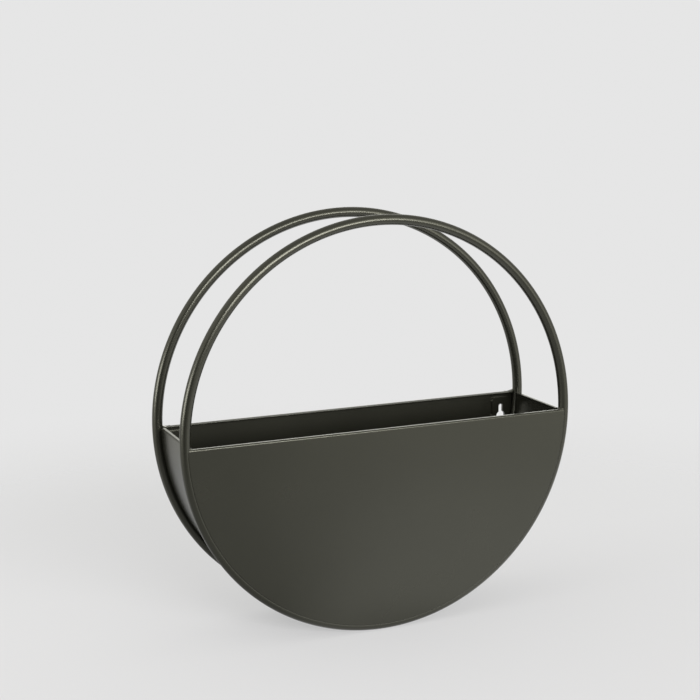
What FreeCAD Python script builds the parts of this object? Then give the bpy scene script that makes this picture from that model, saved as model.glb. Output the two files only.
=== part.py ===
import FreeCAD, Part
import math
import os

# Round wall planter: two rings of round bar carry a half-round sheet-metal trough between them.
# Millimetres. +Z is up, -Y is the front, and the origin is the middle of the box under the rings.

Vector = FreeCAD.Vector

# Overall sizes
overall_diameter = 400.0
overall_depth = 102.0
bar_diameter = 10.0
sheet = 1.2

# The trough's rim, just below the rings' centre: the panels' folds go a little past square, so that
# their rims slope down into the trough, and the curved wall's are level
rim_drop = 1.0
panel_rim_width = 5.7
panel_rim_slope = 7.0
wall_rim_width = 3.9
fold_inside_radius = 0.4

# How the sheets sit in the rings: the panels are flush with the rings' outer faces
wall_inset = 2.25
wall_lap = 0.8
weld_gap = 0.15

# Keyholes for two screw heads, each through the back panel and a plate that stiffens it
head_hole_drop = 26.5
head_hole_diameter = 10.0
neck_slot_width = 5.0
neck_slot_rise = 10.0
hanger_width = 20.0
hanger_height = 29.5
hanger_thickness = 2.0
hanger_corner_radius = 3.0
hanger_top_drop = 6.5
hanger_ring_gap = 0.5

# Weld metal that shows: fillets where the rims meet the rings, and tacks on the hanger plates
rim_weld_height = 2.0
front_weld_length = 3.2
back_weld_length = 9.0
tack_radius = 1.4
upper_tack_drop = 3.5
lower_tack_drop = 19.0

# Worked out from the sizes above
bar_radius = bar_diameter / 2
ring_radius = overall_diameter / 2 - bar_radius
ring_y = overall_depth / 2 - bar_radius
centre_z = overall_diameter / 2
rim_z = centre_z - rim_drop
panel_face_y = overall_depth / 2
panel_inner_y = panel_face_y - sheet
wall_outer_radius = ring_radius - wall_inset
wall_end_y = ring_y - bar_radius + wall_lap
head_hole_z = centre_z - head_hole_drop
hanger_top_z = centre_z - hanger_top_drop
hanger_bottom_z = hanger_top_z - hanger_height
hanger_face_y = panel_inner_y - hanger_thickness
hanger_corner_z = hanger_bottom_z + hanger_corner_radius
hanger_corner_reach = ring_radius - bar_radius - hanger_ring_gap - hanger_corner_radius
hanger_corner_x = math.sqrt(hanger_corner_reach ** 2 - (centre_z - hanger_corner_z) ** 2)
keyhole_x = hanger_corner_x + hanger_corner_radius - hanger_width / 2

X_AXIS = Vector(1, 0, 0)
Y_AXIS = Vector(0, 1, 0)
Z_AXIS = Vector(0, 0, 1)
FRONT = -1
BACK = 1
LEFT = -1
RIGHT = 1


def box_between(low, high):
    """A block from its least corner to its greatest."""
    size = high - low
    return Part.makeBox(size.x, size.y, size.z, low)


def drum(radius, half_length):
    """A round block about the rings' shared axis, as long to the front as to the back."""
    return Part.makeCylinder(radius, 2 * half_length, Vector(0, -half_length, centre_z), Y_AXIS)


def hoop(side, radius):
    """A closed hoop of round bar on the front or back ring's own centreline."""
    return Part.makeTorus(ring_radius, radius, Vector(0, side * ring_y, centre_z), Y_AXIS)


def clear_of_rings(shape):
    """The shape cut back so that a weld's gap is left all round each ring."""
    for side in (FRONT, BACK):
        shape = shape.cut(hoop(side, bar_radius + weld_gap))
    return shape


def mirrored(shape, normal):
    """The shape's mirror image across the upright plane through the origin with this normal."""
    return shape.mirror(Vector(0, 0, 0), normal)


def edges_through(shape, point, axis):
    """The straight edges that run along the axis on the line through the point."""
    found = []
    for edge in shape.Edges:
        offsets = [vertex.Point - point for vertex in edge.Vertexes]
        if len(offsets) == 2 and all(offset.cross(axis).Length < 1e-4 for offset in offsets):
            found.append(edge)
    return found


def rounded_fold(shape, outer_corner, inner_corner, axis):
    """The shape with a sheet's fold rounded, the inside of the bend one sheet tighter than the outside."""
    shape = shape.makeFillet(fold_inside_radius + sheet, edges_through(shape, outer_corner, axis))
    return shape.makeFillet(fold_inside_radius, edges_through(shape, inner_corner, axis))


def plain_back_panel():
    """A half-disc flush with the back ring's rear face, its top edge folded forwards into a sloping rim."""
    slope = math.radians(panel_rim_slope)
    along_rim = Vector(0, -math.cos(slope), -math.sin(slope))
    through_rim = Vector(0, math.sin(slope), -math.cos(slope))
    start = Vector(-ring_radius, 0, 0)
    outer_foot = start + Vector(0, panel_face_y, 0)
    inner_foot = start + Vector(0, panel_inner_y, 0)
    outer_corner = outer_foot + Z_AXIS * rim_z
    inner_corner = inner_foot + Z_AXIS * (rim_z - sheet * (1 + math.sin(slope)) / math.cos(slope))
    rim_edge = outer_corner + along_rim * panel_rim_width
    under_edge = rim_edge + through_rim * sheet
    outline = [outer_foot, outer_corner, rim_edge, under_edge, inner_corner, inner_foot, outer_foot]
    bent = Part.Face(Part.makePolygon(outline)).extrude(X_AXIS * (2 * ring_radius))
    folded = rounded_fold(bent, outer_corner, inner_corner, X_AXIS)
    return clear_of_rings(folded.common(drum(ring_radius, overall_depth / 2)))


def keyhole(side):
    """The space of one keyhole: a round hole for the screw's head, with a narrower slot above it."""
    x = side * keyhole_x
    start_y = hanger_face_y - sheet
    depth = overall_depth / 2 + sheet - start_y
    half_slot = neck_slot_width / 2
    slot_top_z = head_hole_z + neck_slot_rise
    head = Part.makeCylinder(head_hole_diameter / 2, depth, Vector(x, start_y, head_hole_z), Y_AXIS)
    neck_end = Part.makeCylinder(half_slot, depth, Vector(x, start_y, slot_top_z), Y_AXIS)
    neck = box_between(
        Vector(x - half_slot, start_y, head_hole_z), Vector(x + half_slot, start_y + depth, slot_top_z)
    )
    return head.fuse(neck).fuse(neck_end).removeSplitter()


def back_panel():
    """The panel that faces the wall, with a keyhole near each end of its rim."""
    panel = plain_back_panel()
    for side in (LEFT, RIGHT):
        panel = panel.cut(keyhole(side))
    return panel


def front_panel():
    """The panel that shows: the back panel's mirror image with no holes."""
    return mirrored(plain_back_panel(), Y_AXIS)


def curved_wall():
    """The trough's sides and floor: one sheet rolled to a half drum, both top edges folded inwards."""
    shell = drum(wall_outer_radius, wall_end_y).cut(drum(wall_outer_radius - sheet, overall_depth))
    below_rim = box_between(
        Vector(-overall_diameter, -overall_depth, 0), Vector(overall_diameter, overall_depth, rim_z)
    )
    wall = shell.common(below_rim)
    rim_edge_x = wall_outer_radius - wall_rim_width
    for side in (LEFT, RIGHT):
        strip = box_between(
            Vector(rim_edge_x, -wall_end_y, rim_z - sheet), Vector(wall_outer_radius, wall_end_y, rim_z)
        ).common(drum(wall_outer_radius, wall_end_y))
        wall = wall.fuse(strip if side == RIGHT else mirrored(strip, X_AXIS))
    wall = wall.removeSplitter()
    outer_x = math.sqrt(wall_outer_radius ** 2 - rim_drop ** 2)
    inner_x = math.sqrt((wall_outer_radius - sheet) ** 2 - (rim_drop + sheet) ** 2)
    for side in (LEFT, RIGHT):
        outer_corner = Vector(side * outer_x, 0, rim_z)
        inner_corner = Vector(side * inner_x, 0, rim_z - sheet)
        wall = rounded_fold(wall, outer_corner, inner_corner, Y_AXIS)
    return clear_of_rings(wall)


def hanger_plate(side):
    """The stiffening plate on the inner face of the back panel, round one keyhole."""
    x = side * keyhole_x
    half_width = hanger_width / 2
    plate = box_between(
        Vector(x - half_width, hanger_face_y, hanger_bottom_z),
        Vector(x + half_width, panel_inner_y, hanger_top_z),
    )
    corners = []
    for corner_x in (x - half_width, x + half_width):
        for corner_z in (hanger_bottom_z, hanger_top_z):
            corners += edges_through(plate, Vector(corner_x, 0, corner_z), Y_AXIS)
    return plate.makeFillet(hanger_corner_radius, corners).cut(keyhole(side))


def hanger_tacks(side):
    """Four tack welds that hold one hanger plate: two on each upright edge, in the corner with the panel."""
    plate = hanger_plate(side)
    tacks = []
    for edge in (LEFT, RIGHT):
        edge_x = side * keyhole_x + edge * hanger_width / 2
        for z in (hanger_top_z - upper_tack_drop, hanger_top_z - lower_tack_drop):
            bead = Part.makeSphere(tack_radius, Vector(edge_x, panel_inner_y, z))
            reach = Vector(tack_radius, 0, tack_radius)
            before_panel = box_between(
                Vector(edge_x, hanger_face_y, z) - reach, Vector(edge_x, panel_inner_y, z) + reach
            )
            tacks.append(bead.common(before_panel).cut(plate))
    return Part.makeCompound(tacks)


def back_rim_weld(panel, length):
    """The fillet weld on the right end of the back rim: a hollow curve swept round the ring's bar."""
    bar_side_x = ring_radius - bar_radius
    hollow = 1 - math.sin(math.pi / 4)
    root = Vector(ring_radius - bar_radius / 2, ring_y, rim_z - sheet)
    under_toe = Vector(bar_side_x - length, ring_y, rim_z - sheet)
    toe = Vector(bar_side_x - length, ring_y, rim_z)
    middle = Vector(bar_side_x - length * hollow, ring_y, rim_z + rim_weld_height * hollow)
    top = Vector(bar_side_x, ring_y, rim_z + rim_weld_height)
    above_root = Vector(root.x, ring_y, top.z)
    outline = Part.Wire([
        Part.makeLine(root, under_toe),
        Part.makeLine(under_toe, toe),
        Part.Arc(toe, middle, top).toShape(),
        Part.makeLine(top, above_root),
        Part.makeLine(above_root, root),
    ])
    collar = Part.Face(outline).revolve(Vector(ring_radius, ring_y, 0), Z_AXIS, 360)
    over_rim = box_between(
        Vector(bar_side_x - length, panel_face_y - panel_rim_width, root.z),
        Vector(ring_radius, panel_face_y - fold_inside_radius, top.z),
    )
    weld = collar.common(over_rim)
    weld.rotate(Vector(0, panel_face_y, rim_z), X_AXIS, panel_rim_slope)
    return weld.cut(hoop(BACK, bar_radius)).cut(panel)


def export(name, shape):
    """Write one named sub-part."""
    shape.exportStep(f"parts/{name}.step")


os.makedirs("parts", exist_ok=True)
export("front_ring", hoop(FRONT, bar_radius))
export("back_ring", hoop(BACK, bar_radius))
export("front_panel", front_panel())
export("back_panel", back_panel())
export("curved_wall", curved_wall())
for name, side in (("left", LEFT), ("right", RIGHT)):
    export(f"hanger_plate_{name}", hanger_plate(side))
    export(f"hanger_tacks_{name}", hanger_tacks(side))
plain_panel = plain_back_panel()
back_weld = back_rim_weld(plain_panel, back_weld_length)
front_weld = mirrored(back_rim_weld(plain_panel, front_weld_length), Y_AXIS)
export("back_weld_right", back_weld)
export("back_weld_left", mirrored(back_weld, X_AXIS))
export("front_weld_right", front_weld)
export("front_weld_left", mirrored(front_weld, X_AXIS))
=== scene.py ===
import math

import bmesh
import bpy
from mathutils import Matrix, Quaternion, Vector


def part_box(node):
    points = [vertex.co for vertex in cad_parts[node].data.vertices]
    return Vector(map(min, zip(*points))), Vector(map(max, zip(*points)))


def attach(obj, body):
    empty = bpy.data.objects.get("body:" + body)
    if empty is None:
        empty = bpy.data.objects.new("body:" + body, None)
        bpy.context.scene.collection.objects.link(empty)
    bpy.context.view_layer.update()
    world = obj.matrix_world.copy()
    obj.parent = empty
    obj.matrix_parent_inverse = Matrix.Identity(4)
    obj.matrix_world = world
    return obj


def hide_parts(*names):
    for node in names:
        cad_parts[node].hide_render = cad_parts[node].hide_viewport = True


# The looks of a round wall planter in satin powder-coated steel: finer rings, the coat on every
# piece, and a plain pale studio. Metres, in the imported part's own frame: +Z up, -Y the front.

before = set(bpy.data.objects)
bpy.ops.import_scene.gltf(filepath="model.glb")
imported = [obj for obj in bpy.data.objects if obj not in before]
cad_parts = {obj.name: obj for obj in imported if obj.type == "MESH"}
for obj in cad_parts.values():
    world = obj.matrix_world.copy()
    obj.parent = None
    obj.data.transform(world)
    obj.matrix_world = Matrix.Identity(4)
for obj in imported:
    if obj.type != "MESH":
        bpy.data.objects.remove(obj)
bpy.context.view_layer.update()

# The rings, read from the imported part
RING_LOW, RING_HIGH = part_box("front_ring")
BAR_RADIUS = (RING_HIGH.y - RING_LOW.y) / 2
RING_RADIUS = (RING_HIGH.z - RING_LOW.z) / 2 - BAR_RADIUS
RING_CENTRE_Z = (RING_HIGH.z + RING_LOW.z) / 2

# Mesh fineness of the rings: steps round the hoop and round the bar
HOOP_STEPS = 384
BAR_STEPS = 40

# The camera, fitted to the outlines of both rings and both rims in the photograph, in degrees
CAMERA_PLACE = Vector((-0.5358, -1.2317, 0.5135))
CAMERA_AZIMUTH = -22.909
CAMERA_ELEVATION = 10.449
CAMERA_ROLL = -0.517
LENS_MM = 72.88
SENSOR_MM = 36.0

# The coat: its darker and lighter tones, the tint of what it mirrors, and its roughness
COAT_DARKER = (0.0074, 0.0075, 0.0056, 1)
COAT_LIGHTER = (0.0088, 0.0089, 0.0067, 1)
COAT_TINT = (1.0, 1.0, 0.86, 1)
COAT_ROUGHNESS_LOW = 0.25
COAT_ROUGHNESS_HIGH = 0.29

# The coat's slow unevenness, its orange peel, and its own rounding of the sheets' sharp edges
CLOUD_SCALE = 9.0
CLOUD_DETAIL = 4.0
CLOUD_LOW = 0.3
CLOUD_HIGH = 0.7
PEEL_SCALE = 1600.0
PEEL_DETAIL = 2.0
PEEL_STRENGTH = 0.012
PEEL_DEPTH = 0.0002
EDGE_RADIUS = 0.0005
EDGE_SAMPLES = 6

# The studio, as the camera sees it and as it lights the planter
STUDIO_COLOUR = (0.79, 0.79, 0.79, 1)
STUDIO_LIGHT = (0.79, 0.785, 0.72, 1)

# The floor, and the distances from the planter between which it fades into the studio
FLOOR_RADIUS = 1.2
FLOOR_STEPS = 96
FLOOR_COLOUR = (0.57, 0.57, 0.61, 1)
FLOOR_ROUGHNESS = 0.9
FADE_START = 0.40
FADE_END = 1.0

# The floor's glow for the camera: its share of the floor's look, and its strength from front to back
FLOOR_GLOW = 0.57
FLOOR_FRONT_Y = -0.35
FLOOR_BACK_Y = 0.15
FLOOR_FRONT_STRENGTH = 0.87
FLOOR_BACK_STRENGTH = 1.0

# The floor's glow in the coat's reflections, which is less in the planter's own shade
FLOOR_MIRRORED_GLOW = 0.8
FLOOR_MIRRORED_STRENGTH = 2.0
FLOOR_SHADED_GLOW = 0.3
SHADE_START = 0.05
SHADE_END = 0.17

# Places in the studio and on the floor that are dimmer or brighter than the rest, as the satin coat
# mirrors them: azimuth, elevation, where they are full and where they end, all in degrees, and their
# strength. The floor's are directions from a point on it.
STUDIO_PLACES = (
    (-37, 6, 8, 26, 0.15),
    (-14, -14, 24, 44, 0.1),
    (42, -8, 12, 28, 1.5),
    (34, 16, 6, 28, 2.8),
    (-95, 32, 20, 50, 1.5),
    (157, 8, 5, 15, 2.6),
)
FLOOR_PLACES_CENTRE = (-0.16, 0.12, 0)
FLOOR_PLACES = (
    (-24, 0, 36, 60, 0.3),
    (-165, 0, 50, 95, 0.45),
)

# The lamps: name, azimuth, elevation and tilt in degrees, width and height in metres, and watts
LAMP_DISTANCE = 2.2
LAMP_COLOUR = (1.0, 0.99, 0.95)
LAMPS = (
    ("front_softbox", 5.5, 15.5, -16, 1.65, 0.5, 58.0),
    ("left_softbox", -82, 6, 0, 1.1, 0.6, 22.0),
)


def link(name, data):
    """A new object that holds the mesh, camera or lamp."""
    thing = bpy.data.objects.new(name, data)
    bpy.context.scene.collection.objects.link(thing)
    return thing


def finished_mesh(name, work):
    """The mesh built in the workspace, which is then let go."""
    mesh = bpy.data.meshes.new(name)
    work.to_mesh(mesh)
    work.free()
    return mesh


def shade_smooth(mesh):
    """Smooth shading on every face."""
    mesh.polygons.foreach_set("use_smooth", [True] * len(mesh.polygons))


def coat(thing, material):
    """The material on the whole piece."""
    thing.data.materials.clear()
    thing.data.materials.append(material)


def direction(azimuth, elevation):
    """The unit vector at these degrees from the front towards the right, and above level."""
    turn = math.radians(azimuth)
    rise = math.radians(elevation)
    return Vector((math.sin(turn) * math.cos(rise), -math.cos(turn) * math.cos(rise), math.sin(rise)))


# Node trees: each of these returns the output of a new node

def feed(tree, socket, source):
    """Link another node's output to the socket, or set the socket to a plain value."""
    if isinstance(source, bpy.types.NodeSocket):
        tree.links.new(source, socket)
    else:
        socket.default_value = source


def arithmetic(tree, operation, first, second):
    """A sum on two numbers."""
    node = tree.nodes.new("ShaderNodeMath")
    node.operation = operation
    feed(tree, node.inputs[0], first)
    feed(tree, node.inputs[1], second)
    return node.outputs["Value"]


def vector_arithmetic(tree, operation, result, *vectors):
    """A sum on one or two vectors, with a result of the kind named."""
    node = tree.nodes.new("ShaderNodeVectorMath")
    node.operation = operation
    for socket, vector in zip(node.inputs, vectors):
        feed(tree, socket, vector)
    return node.outputs[result]


def mapped(tree, interpolation, value, start, end, at_start, at_end):
    """The level between those at start and end, and held beyond them."""
    node = tree.nodes.new("ShaderNodeMapRange")
    node.interpolation_type = interpolation
    feed(tree, node.inputs["Value"], value)
    node.inputs["From Min"].default_value = start
    node.inputs["From Max"].default_value = end
    node.inputs["To Min"].default_value = at_start
    node.inputs["To Max"].default_value = at_end
    return node.outputs["Result"]


def mixed(tree, kind, factor, first, second):
    """Two numbers or colours mixed."""
    node = tree.nodes.new("ShaderNodeMix")
    node.data_type = kind
    for name, source in (("Factor", factor), ("A", first), ("B", second)):
        feed(tree, node.inputs[name], source)
    return node.outputs["Result"]


def mixed_shaders(tree, factor, first, second):
    """Two shaders mixed."""
    node = tree.nodes.new("ShaderNodeMixShader")
    for socket, source in zip(node.inputs, (factor, first, second)):
        feed(tree, socket, source)
    return node.outputs["Shader"]


def noise(tree, place, scale, detail):
    """A soft random pattern in space."""
    node = tree.nodes.new("ShaderNodeTexNoise")
    node.inputs["Scale"].default_value = scale
    node.inputs["Detail"].default_value = detail
    feed(tree, node.inputs["Vector"], place)
    return node.outputs["Fac"]


def studio_level(tree, towards, places):
    """The strength of light from this direction: the product of all the places that it falls in."""
    level = None
    for azimuth, elevation, inner, outer, strength in places:
        along = vector_arithmetic(tree, "DOT_PRODUCT", "Value", towards, direction(azimuth, elevation))
        limits = (math.cos(math.radians(outer)), math.cos(math.radians(inner)))
        here = mapped(tree, "SMOOTHSTEP", along, *limits, 1.0, strength)
        level = here if level is None else arithmetic(tree, "MULTIPLY", level, here)
    return level


# Camera

def make_camera():
    """The photograph's own viewpoint."""
    back = direction(CAMERA_AZIMUTH, CAMERA_ELEVATION)
    right = (-back).cross(Vector((0, 0, 1))).normalized()
    upright = Matrix((right, back.cross(right), back)).transposed()
    turned = upright @ Matrix.Rotation(math.radians(CAMERA_ROLL), 3, "Z")
    data = bpy.data.cameras.new("camera")
    data.lens = LENS_MM
    data.sensor_width = SENSOR_MM
    camera = link("camera", data)
    camera.matrix_world = Matrix.Translation(CAMERA_PLACE) @ turned.to_4x4()
    bpy.context.scene.camera = camera


# Powder coat

def powder_coat(name, round_edges):
    """Satin olive-charcoal powder coat: a fine orange-peel skin with a slight unevenness of tone."""
    material = bpy.data.materials.new(name)
    material.use_nodes = True
    tree = material.node_tree
    shader = tree.nodes["Principled BSDF"]
    place = tree.nodes.new("ShaderNodeTexCoord").outputs["Object"]

    cloud = noise(tree, place, CLOUD_SCALE, CLOUD_DETAIL)
    tone = tree.nodes.new("ShaderNodeValToRGB")
    darker, lighter = tone.color_ramp.elements
    darker.position = CLOUD_LOW
    darker.color = COAT_DARKER
    lighter.position = CLOUD_HIGH
    lighter.color = COAT_LIGHTER
    feed(tree, tone.inputs["Fac"], cloud)
    feed(tree, shader.inputs["Base Color"], tone.outputs["Color"])
    shader.inputs["Specular Tint"].default_value = COAT_TINT
    roughness = mapped(tree, "LINEAR", cloud, 0.0, 1.0, COAT_ROUGHNESS_LOW, COAT_ROUGHNESS_HIGH)
    feed(tree, shader.inputs["Roughness"], roughness)

    bump = tree.nodes.new("ShaderNodeBump")
    bump.inputs["Strength"].default_value = PEEL_STRENGTH
    bump.inputs["Distance"].default_value = PEEL_DEPTH
    feed(tree, bump.inputs["Height"], noise(tree, place, PEEL_SCALE, PEEL_DETAIL))
    if round_edges:
        edges = tree.nodes.new("ShaderNodeBevel")
        edges.samples = EDGE_SAMPLES
        edges.inputs["Radius"].default_value = EDGE_RADIUS
        feed(tree, bump.inputs["Normal"], edges.outputs["Normal"])
    feed(tree, shader.inputs["Normal"], bump.outputs["Normal"])
    return material


# Rings

def hoop_mesh(name, centre_y):
    """One closed hoop of round bar."""
    work = bmesh.new()
    loops = []
    for i in range(HOOP_STEPS):
        turn = 2 * math.pi * i / HOOP_STEPS
        outward = Vector((math.cos(turn), 0, math.sin(turn)))
        middle = Vector((0, centre_y, RING_CENTRE_Z)) + outward * RING_RADIUS
        loop = []
        for j in range(BAR_STEPS):
            around = 2 * math.pi * j / BAR_STEPS
            offset = outward * math.cos(around) + Vector((0, math.sin(around), 0))
            loop.append(work.verts.new(middle + offset * BAR_RADIUS))
        loops.append(loop)
    for i in range(HOOP_STEPS):
        here = loops[i]
        ahead = loops[(i + 1) % HOOP_STEPS]
        for j in range(BAR_STEPS):
            k = (j + 1) % BAR_STEPS
            work.faces.new((here[j], here[k], ahead[k], ahead[j]))
    bmesh.ops.recalc_face_normals(work, faces=work.faces)
    mesh = finished_mesh(name, work)
    shade_smooth(mesh)
    return mesh


def make_rings(material):
    """The two hoops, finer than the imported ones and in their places."""
    for node in ("front_ring", "back_ring"):
        low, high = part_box(node)
        name = node + "_fine"
        ring = link(name, hoop_mesh(name, (low.y + high.y) / 2))
        coat(ring, material)
        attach(ring, "root")
        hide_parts(node)


# Stage

def floor_glow(tree, place, path):
    """The floor's own light: from front to back for the camera, by direction in reflections."""
    axes = tree.nodes.new("ShaderNodeSeparateXYZ")
    feed(tree, axes.inputs["Vector"], place)
    limits = (FLOOR_FRONT_Y, FLOOR_BACK_Y, FLOOR_FRONT_STRENGTH, FLOOR_BACK_STRENGTH)
    seen = mapped(tree, "LINEAR", axes.outputs["Y"], *limits)
    from_centre = vector_arithmetic(tree, "SUBTRACT", "Vector", place, FLOOR_PLACES_CENTRE)
    outwards = vector_arithmetic(tree, "NORMALIZE", "Vector", from_centre)
    level = studio_level(tree, outwards, FLOOR_PLACES)
    mirrored = arithmetic(tree, "MULTIPLY", level, FLOOR_MIRRORED_STRENGTH)
    glow = tree.nodes.new("ShaderNodeEmission")
    glow.inputs["Color"].default_value = STUDIO_COLOUR
    feed(tree, glow.inputs["Strength"], mixed(tree, "FLOAT", path.outputs["Is Camera Ray"], mirrored, seen))
    return glow.outputs["Emission"]


def pale_floor():
    """A matt pale surface that keeps the planter's shadow, and fades out with distance."""
    material = bpy.data.materials.new("pale_floor")
    material.use_nodes = True
    tree = material.node_tree
    matt = tree.nodes["Principled BSDF"]
    matt.inputs["Base Color"].default_value = FLOOR_COLOUR
    matt.inputs["Roughness"].default_value = FLOOR_ROUGHNESS
    place = tree.nodes.new("ShaderNodeTexCoord").outputs["Object"]
    path = tree.nodes.new("ShaderNodeLightPath")
    distance = vector_arithmetic(tree, "LENGTH", "Value", place)

    seen = arithmetic(tree, "MULTIPLY", path.outputs["Is Camera Ray"], FLOOR_GLOW)
    limits = (SHADE_START, SHADE_END, FLOOR_SHADED_GLOW, FLOOR_MIRRORED_GLOW)
    unshaded = mapped(tree, "SMOOTHSTEP", distance, *limits)
    mirrored = arithmetic(tree, "MULTIPLY", path.outputs["Is Glossy Ray"], unshaded)
    share = arithmetic(tree, "MAXIMUM", seen, mirrored)
    paled = mixed_shaders(tree, share, matt.outputs["BSDF"], floor_glow(tree, place, path))

    fade = mapped(tree, "SMOOTHSTEP", distance, FADE_START, FADE_END, 0.0, 1.0)
    clear = tree.nodes.new("ShaderNodeBsdfTransparent")
    surface = mixed_shaders(tree, fade, paled, clear.outputs["BSDF"])
    feed(tree, tree.nodes["Material Output"].inputs["Surface"], surface)
    return material


def make_floor():
    """The round floor under the planter."""
    work = bmesh.new()
    bmesh.ops.create_circle(work, cap_ends=True, segments=FLOOR_STEPS, radius=FLOOR_RADIUS)
    floor = link("floor", finished_mesh("floor", work))
    coat(floor, pale_floor())


def make_world():
    """A soft, even studio, with dimmer and brighter places that the satin coat mirrors."""
    world = bpy.data.worlds.new("studio")
    bpy.context.scene.world = world
    world.use_nodes = True
    tree = world.node_tree
    shade = tree.nodes["Background"]
    towards = tree.nodes.new("ShaderNodeTexCoord").outputs["Generated"]
    seen = tree.nodes.new("ShaderNodeLightPath").outputs["Is Camera Ray"]
    level = studio_level(tree, towards, STUDIO_PLACES)
    feed(tree, shade.inputs["Strength"], mixed(tree, "FLOAT", seen, level, 1.0))
    feed(tree, shade.inputs["Color"], mixed(tree, "RGBA", seen, STUDIO_LIGHT, STUDIO_COLOUR))


def make_lamp(name, azimuth, elevation, tilt, width, height, power):
    """A soft rectangular lamp at the lamps' distance, facing the planter's middle."""
    data = bpy.data.lights.new(name, "AREA")
    data.shape = "RECTANGLE"
    data.size = width
    data.size_y = height
    data.energy = power
    data.color = LAMP_COLOUR
    lamp = link(name, data)
    away = direction(azimuth, elevation)
    lamp.location = Vector((0, 0, RING_CENTRE_Z)) + away * LAMP_DISTANCE
    tilted = Quaternion((0, 0, 1), math.radians(tilt))
    lamp.rotation_euler = (away.to_track_quat("Z", "Y") @ tilted).to_euler()
    lamp.visible_camera = False


bpy.context.scene.view_settings.view_transform = "Standard"
make_camera()
sheet_coat = powder_coat("powder_coat_on_sheet", True)
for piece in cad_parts.values():
    coat(piece, sheet_coat)
    shade_smooth(piece.data)
make_rings(powder_coat("powder_coat_on_bar", False))
make_floor()
make_world()
for lamp_sizes in LAMPS:
    make_lamp(*lamp_sizes)
